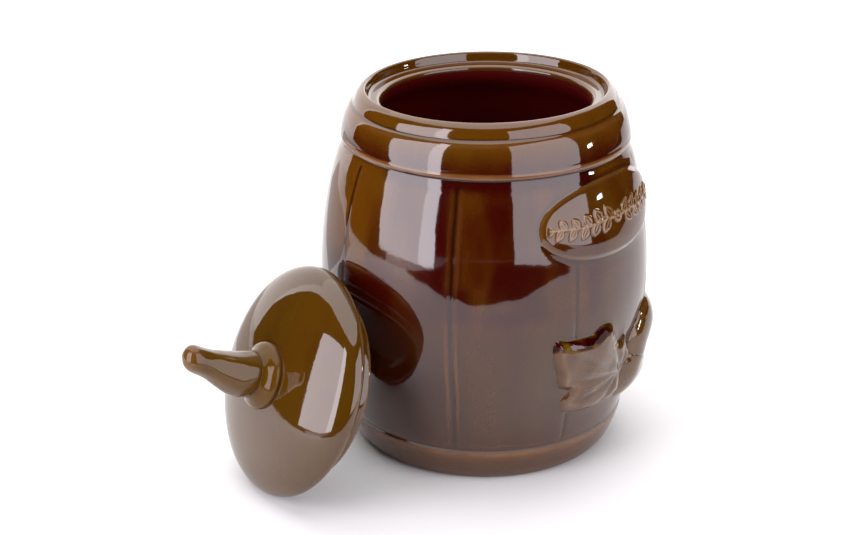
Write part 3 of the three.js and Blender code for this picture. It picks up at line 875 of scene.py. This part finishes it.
def lamp_material(name, colour, strength):
    m = bpy.data.materials.new(name)
    m.use_nodes = True
    nodes = m.node_tree.nodes
    nodes.clear()
    e = nodes.new("ShaderNodeEmission")
    e.inputs["Color"].default_value = (*colour, 1)
    e.inputs["Strength"].default_value = strength
    o = nodes.new("ShaderNodeOutputMaterial")
    m.node_tree.links.new(e.outputs[0], o.inputs[0])
    return m


def panel(name, corners, material, seen=True):
    mesh = bpy.data.meshes.new(name)
    mesh.from_pydata(corners, [], [tuple(range(len(corners)))])
    mesh.materials.append(material)
    made = bpy.data.objects.new(name, mesh)
    bpy.context.scene.collection.objects.link(made)
    made.visible_camera = seen
    return made


floor = panel("floor", [(-9, -9, -0.0002), (9, -9, -0.0002), (9, 9, -0.0002), (-9, 9, -0.0002)], plain("floor_white", (0.86, 0.86, 0.86), 0.7))
nodes, links = floor.data.materials[0].node_tree.nodes, floor.data.materials[0].node_tree.links
away = nodes.new("ShaderNodeVectorMath")  # the floor stays evenly white to the camera away from the object
away.operation = "LENGTH"
links.new(nodes.new("ShaderNodeNewGeometry").outputs["Position"], away.inputs[0])
far = nodes.new("ShaderNodeMapRange")
far.interpolation_type = "SMOOTHSTEP"
far.inputs["From Min"].default_value, far.inputs["From Max"].default_value = 0.35, 0.80
links.new(away.outputs["Value"], far.inputs["Value"])
to_camera = nodes.new("ShaderNodeMath")
to_camera.operation = "MULTIPLY"
links.new(far.outputs["Result"], to_camera.inputs[0])
links.new(nodes.new("ShaderNodeLightPath").outputs["Is Camera Ray"], to_camera.inputs[1])
even_white = nodes.new("ShaderNodeEmission")
even_white.inputs["Strength"].default_value = 1.6
blend = nodes.new("ShaderNodeMixShader")
links.new(to_camera.outputs[0], blend.inputs[0])
links.new(nodes["Principled BSDF"].outputs[0], blend.inputs[1])
links.new(even_white.outputs[0], blend.inputs[2])
links.new(blend.outputs[0], nodes["Material Output"].inputs[0])

black = plain("flag_black", (0.012, 0.011, 0.010), 0.9)
az = np.radians(np.linspace(-125, 140, 70))
top_el = np.interp(
    np.degrees(az),
    [-125, -121, -116, -100, -75, -40, 60, 100, 120, 132, 140],
    [10, 24, 38, 51, 58, 62, 61, 58, 50, 36, 12],
)
verts, faces = [], []
for k, (q, hi) in enumerate(zip(az, np.radians(top_el))):
    for share in np.linspace(0, 1, 9):
        e = share * hi
        verts.append(studio(1.75 * math.cos(e) * math.sin(q), -1.75 * math.cos(e) * math.cos(q), 1.75 * math.sin(e)))
for k in range(len(az) - 1):
    for j in range(8):
        faces.append((k * 9 + j, (k + 1) * 9 + j, (k + 1) * 9 + j + 1, k * 9 + j + 1))
mesh = bpy.data.meshes.new("flag")
mesh.from_pydata(verts, [], faces)
mesh.materials.append(black)
flag = bpy.data.objects.new("flag", mesh)
bpy.context.scene.collection.objects.link(flag)
flag.visible_camera = False

ragged = [
    (-0.60, -0.452), (-0.50, -0.450), (-0.38, -0.473), (-0.236, -0.436), (-0.181, -0.432), (-0.162, -0.481),
    (-0.101, -0.443), (-0.052, -0.429), (0.016, -0.443), (0.09, -0.459), (0.172, -0.465), (0.242, -0.480),
    (0.318, -0.484), (0.43, -0.505), (0.502, -0.462), (0.562, -0.378), (0.70, -0.57),
]
cloth = panel("cloth", [studio(0.75, -1.58, 0.0006), *[studio(x, y, 0.0006) for x, y in reversed(ragged)], studio(-0.60, -1.64, 0.0006)], black, seen=False)
beyond = [
    (-0.745, -0.30), (-0.745, 0.285), (-0.964, 0.415), (-1.18, 0.70), (-1.43, 1.00), (-1.62, 0.62), (-1.73, 0.10),
    (-1.70, -0.40), (-1.50, -0.90), (-0.95, -0.35),
]
cloth_left = panel("cloth_left", [studio(x, y, 0.0006) for x, y in reversed(beyond)], black, seen=False)
beyond = [(0.78, -0.36), (1.20, -1.20), (1.55, -0.75), (1.72, -0.15), (1.66, 0.50), (1.36, 1.08), (1.00, 0.75), (0.78, 0.50)]
cloth_right = panel("cloth_right", [studio(x, y, 0.0006) for x, y in beyond], black, seen=False)
for thing in (cloth, cloth_left, cloth_right):
    thing.visible_diffuse = thing.visible_shadow = False


def box_light(name, middle, across, outline, material):
    """An upright softbox: middle of its foot, the level direction along it, and its outline in (along, up)."""
    pts = [studio(middle[0] + across[0] * p, middle[1] + across[1] * p, q) for p, q in outline]
    return panel(name, pts, material, seen=False)


left = box_light(
    "softbox_left", (-0.630, -0.473), (-0.579, 0.816),
    [(-0.26, 0.03), (0.32, 0.02), (0.46, 0.62), (-0.24, 0.98)],
    lamp_material("softbox_left", (0.97, 0.935, 1.0), 5.0),
)
fold = box_light(
    "softbox_fold", (-0.622, -0.467), (-0.579, 0.816),
    [(-0.27, 0.03), (-0.12, 0.03), (-0.10, 0.97), (-0.25, 0.99)],
    lamp_material("softbox_fold", (0.97, 0.935, 1.0), 7.4),
)
right = box_light(
    "softbox_right", (0.658, -0.614), (0.682, 0.731),
    [(-0.50, 0.02), (-0.50, 1.05), (0.42, 0.98), (0.42, 0.02)],
    lamp_material("softbox_right", (0.97, 0.945, 1.0), 3.0),
)
head = box_light(
    "lamp_head", (1.16, -0.12), (0.10, 0.995),
    [(-0.05, 0.235), (-0.05, 0.295), (0.05, 0.295), (0.05, 0.235)],
    lamp_material("lamp_head", (1.0, 0.99, 0.97), 30.0),
)
for light in (left, fold, right, head):
    light.visible_shadow = False
for light in (fold, head):
    light.visible_diffuse = False

grey = lamp_material("grey_card", (1.0, 0.97, 0.965), 1.7)
verts = []
for e in np.radians([0, 12, 24, 36, 46]):
    for q in np.radians(np.linspace(-126, -182, 9)):
        verts.append(studio(1.9 * math.cos(e) * math.sin(q), -1.9 * math.cos(e) * math.cos(q), 1.9 * math.sin(e)))
faces = [(k * 9 + j, k * 9 + j + 1, k * 9 + j + 10, k * 9 + j + 9) for k in range(4) for j in range(8)]
mesh = bpy.data.meshes.new("card_back")
mesh.from_pydata(verts, [], faces)
mesh.materials.append(grey)
card = bpy.data.objects.new("card_back", mesh)
bpy.context.scene.collection.objects.link(card)
low_card = panel(
    "card_low", [studio(x, y, 0.0007) for x, y in ((-0.24, 0.16), (-0.30, 0.50), (-0.62, 0.80), (-0.73, 0.40), (-0.60, 0.10))],
    lamp_material("grey_card_low", (1.0, 0.97, 0.965), 0.8), seen=False,
)
white = lamp_material("white_card", (1.0, 0.985, 0.98), 1.42)  # fades out towards the front and the foot
nodes, links = white.node_tree.nodes, white.node_tree.links
share = nodes.new("ShaderNodeAttribute")
share.attribute_name = "share"
blend = nodes.new("ShaderNodeMixShader")
links.new(share.outputs["Fac"], blend.inputs[0])
links.new(nodes.new("ShaderNodeBsdfTransparent").outputs[0], blend.inputs[1])
links.new(nodes["Emission"].outputs[0], blend.inputs[2])
links.new(blend.outputs[0], nodes["Material Output"].inputs[0])
rings, spokes = np.linspace(0.08, 0.52, 24), np.linspace(-30, 130, 41)
verts = [studio(r * math.sin(math.radians(q)), -r * math.cos(math.radians(q)), 0.0004) for r in rings for q in spokes]
faces = [(k * 41 + j, k * 41 + j + 1, k * 41 + j + 42, k * 41 + j + 41) for k in range(23) for j in range(40)]
mesh = bpy.data.meshes.new("card_floor")
mesh.from_pydata(verts, [], faces)
layer = mesh.attributes.new("share", "FLOAT", "POINT")
fades = [ease((q + 20) / 80) * ease((128 - q) / 24) * ease((r - 0.085) / 0.055) * ease((0.52 - r) / 0.10) for r in rings for q in spokes]
layer.data.foreach_set("value", np.array(fades, np.float32))
mesh.materials.append(white)
glow = bpy.data.objects.new("card_floor", mesh)
bpy.context.scene.collection.objects.link(glow)
for thing in (card, low_card, glow):
    thing.visible_camera = thing.visible_diffuse = thing.visible_shadow = False

world = bpy.data.worlds.new("studio_white")
bpy.context.scene.world = world
world.use_nodes = True
back = world.node_tree.nodes["Background"]
back.inputs["Color"].default_value = (1.0, 0.98, 0.985, 1)
sky = world.node_tree.nodes.new("ShaderNodeTexCoord")
parts = world.node_tree.nodes.new("ShaderNodeSeparateXYZ")
fade = world.node_tree.nodes.new("ShaderNodeMapRange")
fade.inputs["From Min"].default_value, fade.inputs["From Max"].default_value = 0.25, 0.95
fade.inputs["To Min"].default_value, fade.inputs["To Max"].default_value = 2.5, 2.3
world.node_tree.links.new(sky.outputs["Generated"], parts.inputs[0])
world.node_tree.links.new(parts.outputs["Z"], fade.inputs["Value"])
world.node_tree.links.new(fade.outputs["Result"], back.inputs["Strength"])

scene = bpy.context.scene
scene.view_settings.view_transform = "Standard"
scene.view_settings.look = "None"

cam_data = bpy.data.cameras.new("camera")
cam = bpy.data.objects.new("camera", cam_data)
scene.collection.objects.link(cam)
cam.location = (-0.6589, -0.5097, 0.4429)
cam.rotation_mode = "QUATERNION"
cam.rotation_quaternion = Vector((0.7073, 0.5893, -0.3906)).to_track_quat("-Z", "Y")
cam_data.sensor_fit = "HORIZONTAL"
cam_data.sensor_width = 36.0
cam_data.lens = 36.0 * 1680.0 / 855.0
cam_data.clip_start, cam_data.clip_end = 0.02, 60.0
scene.camera = cam
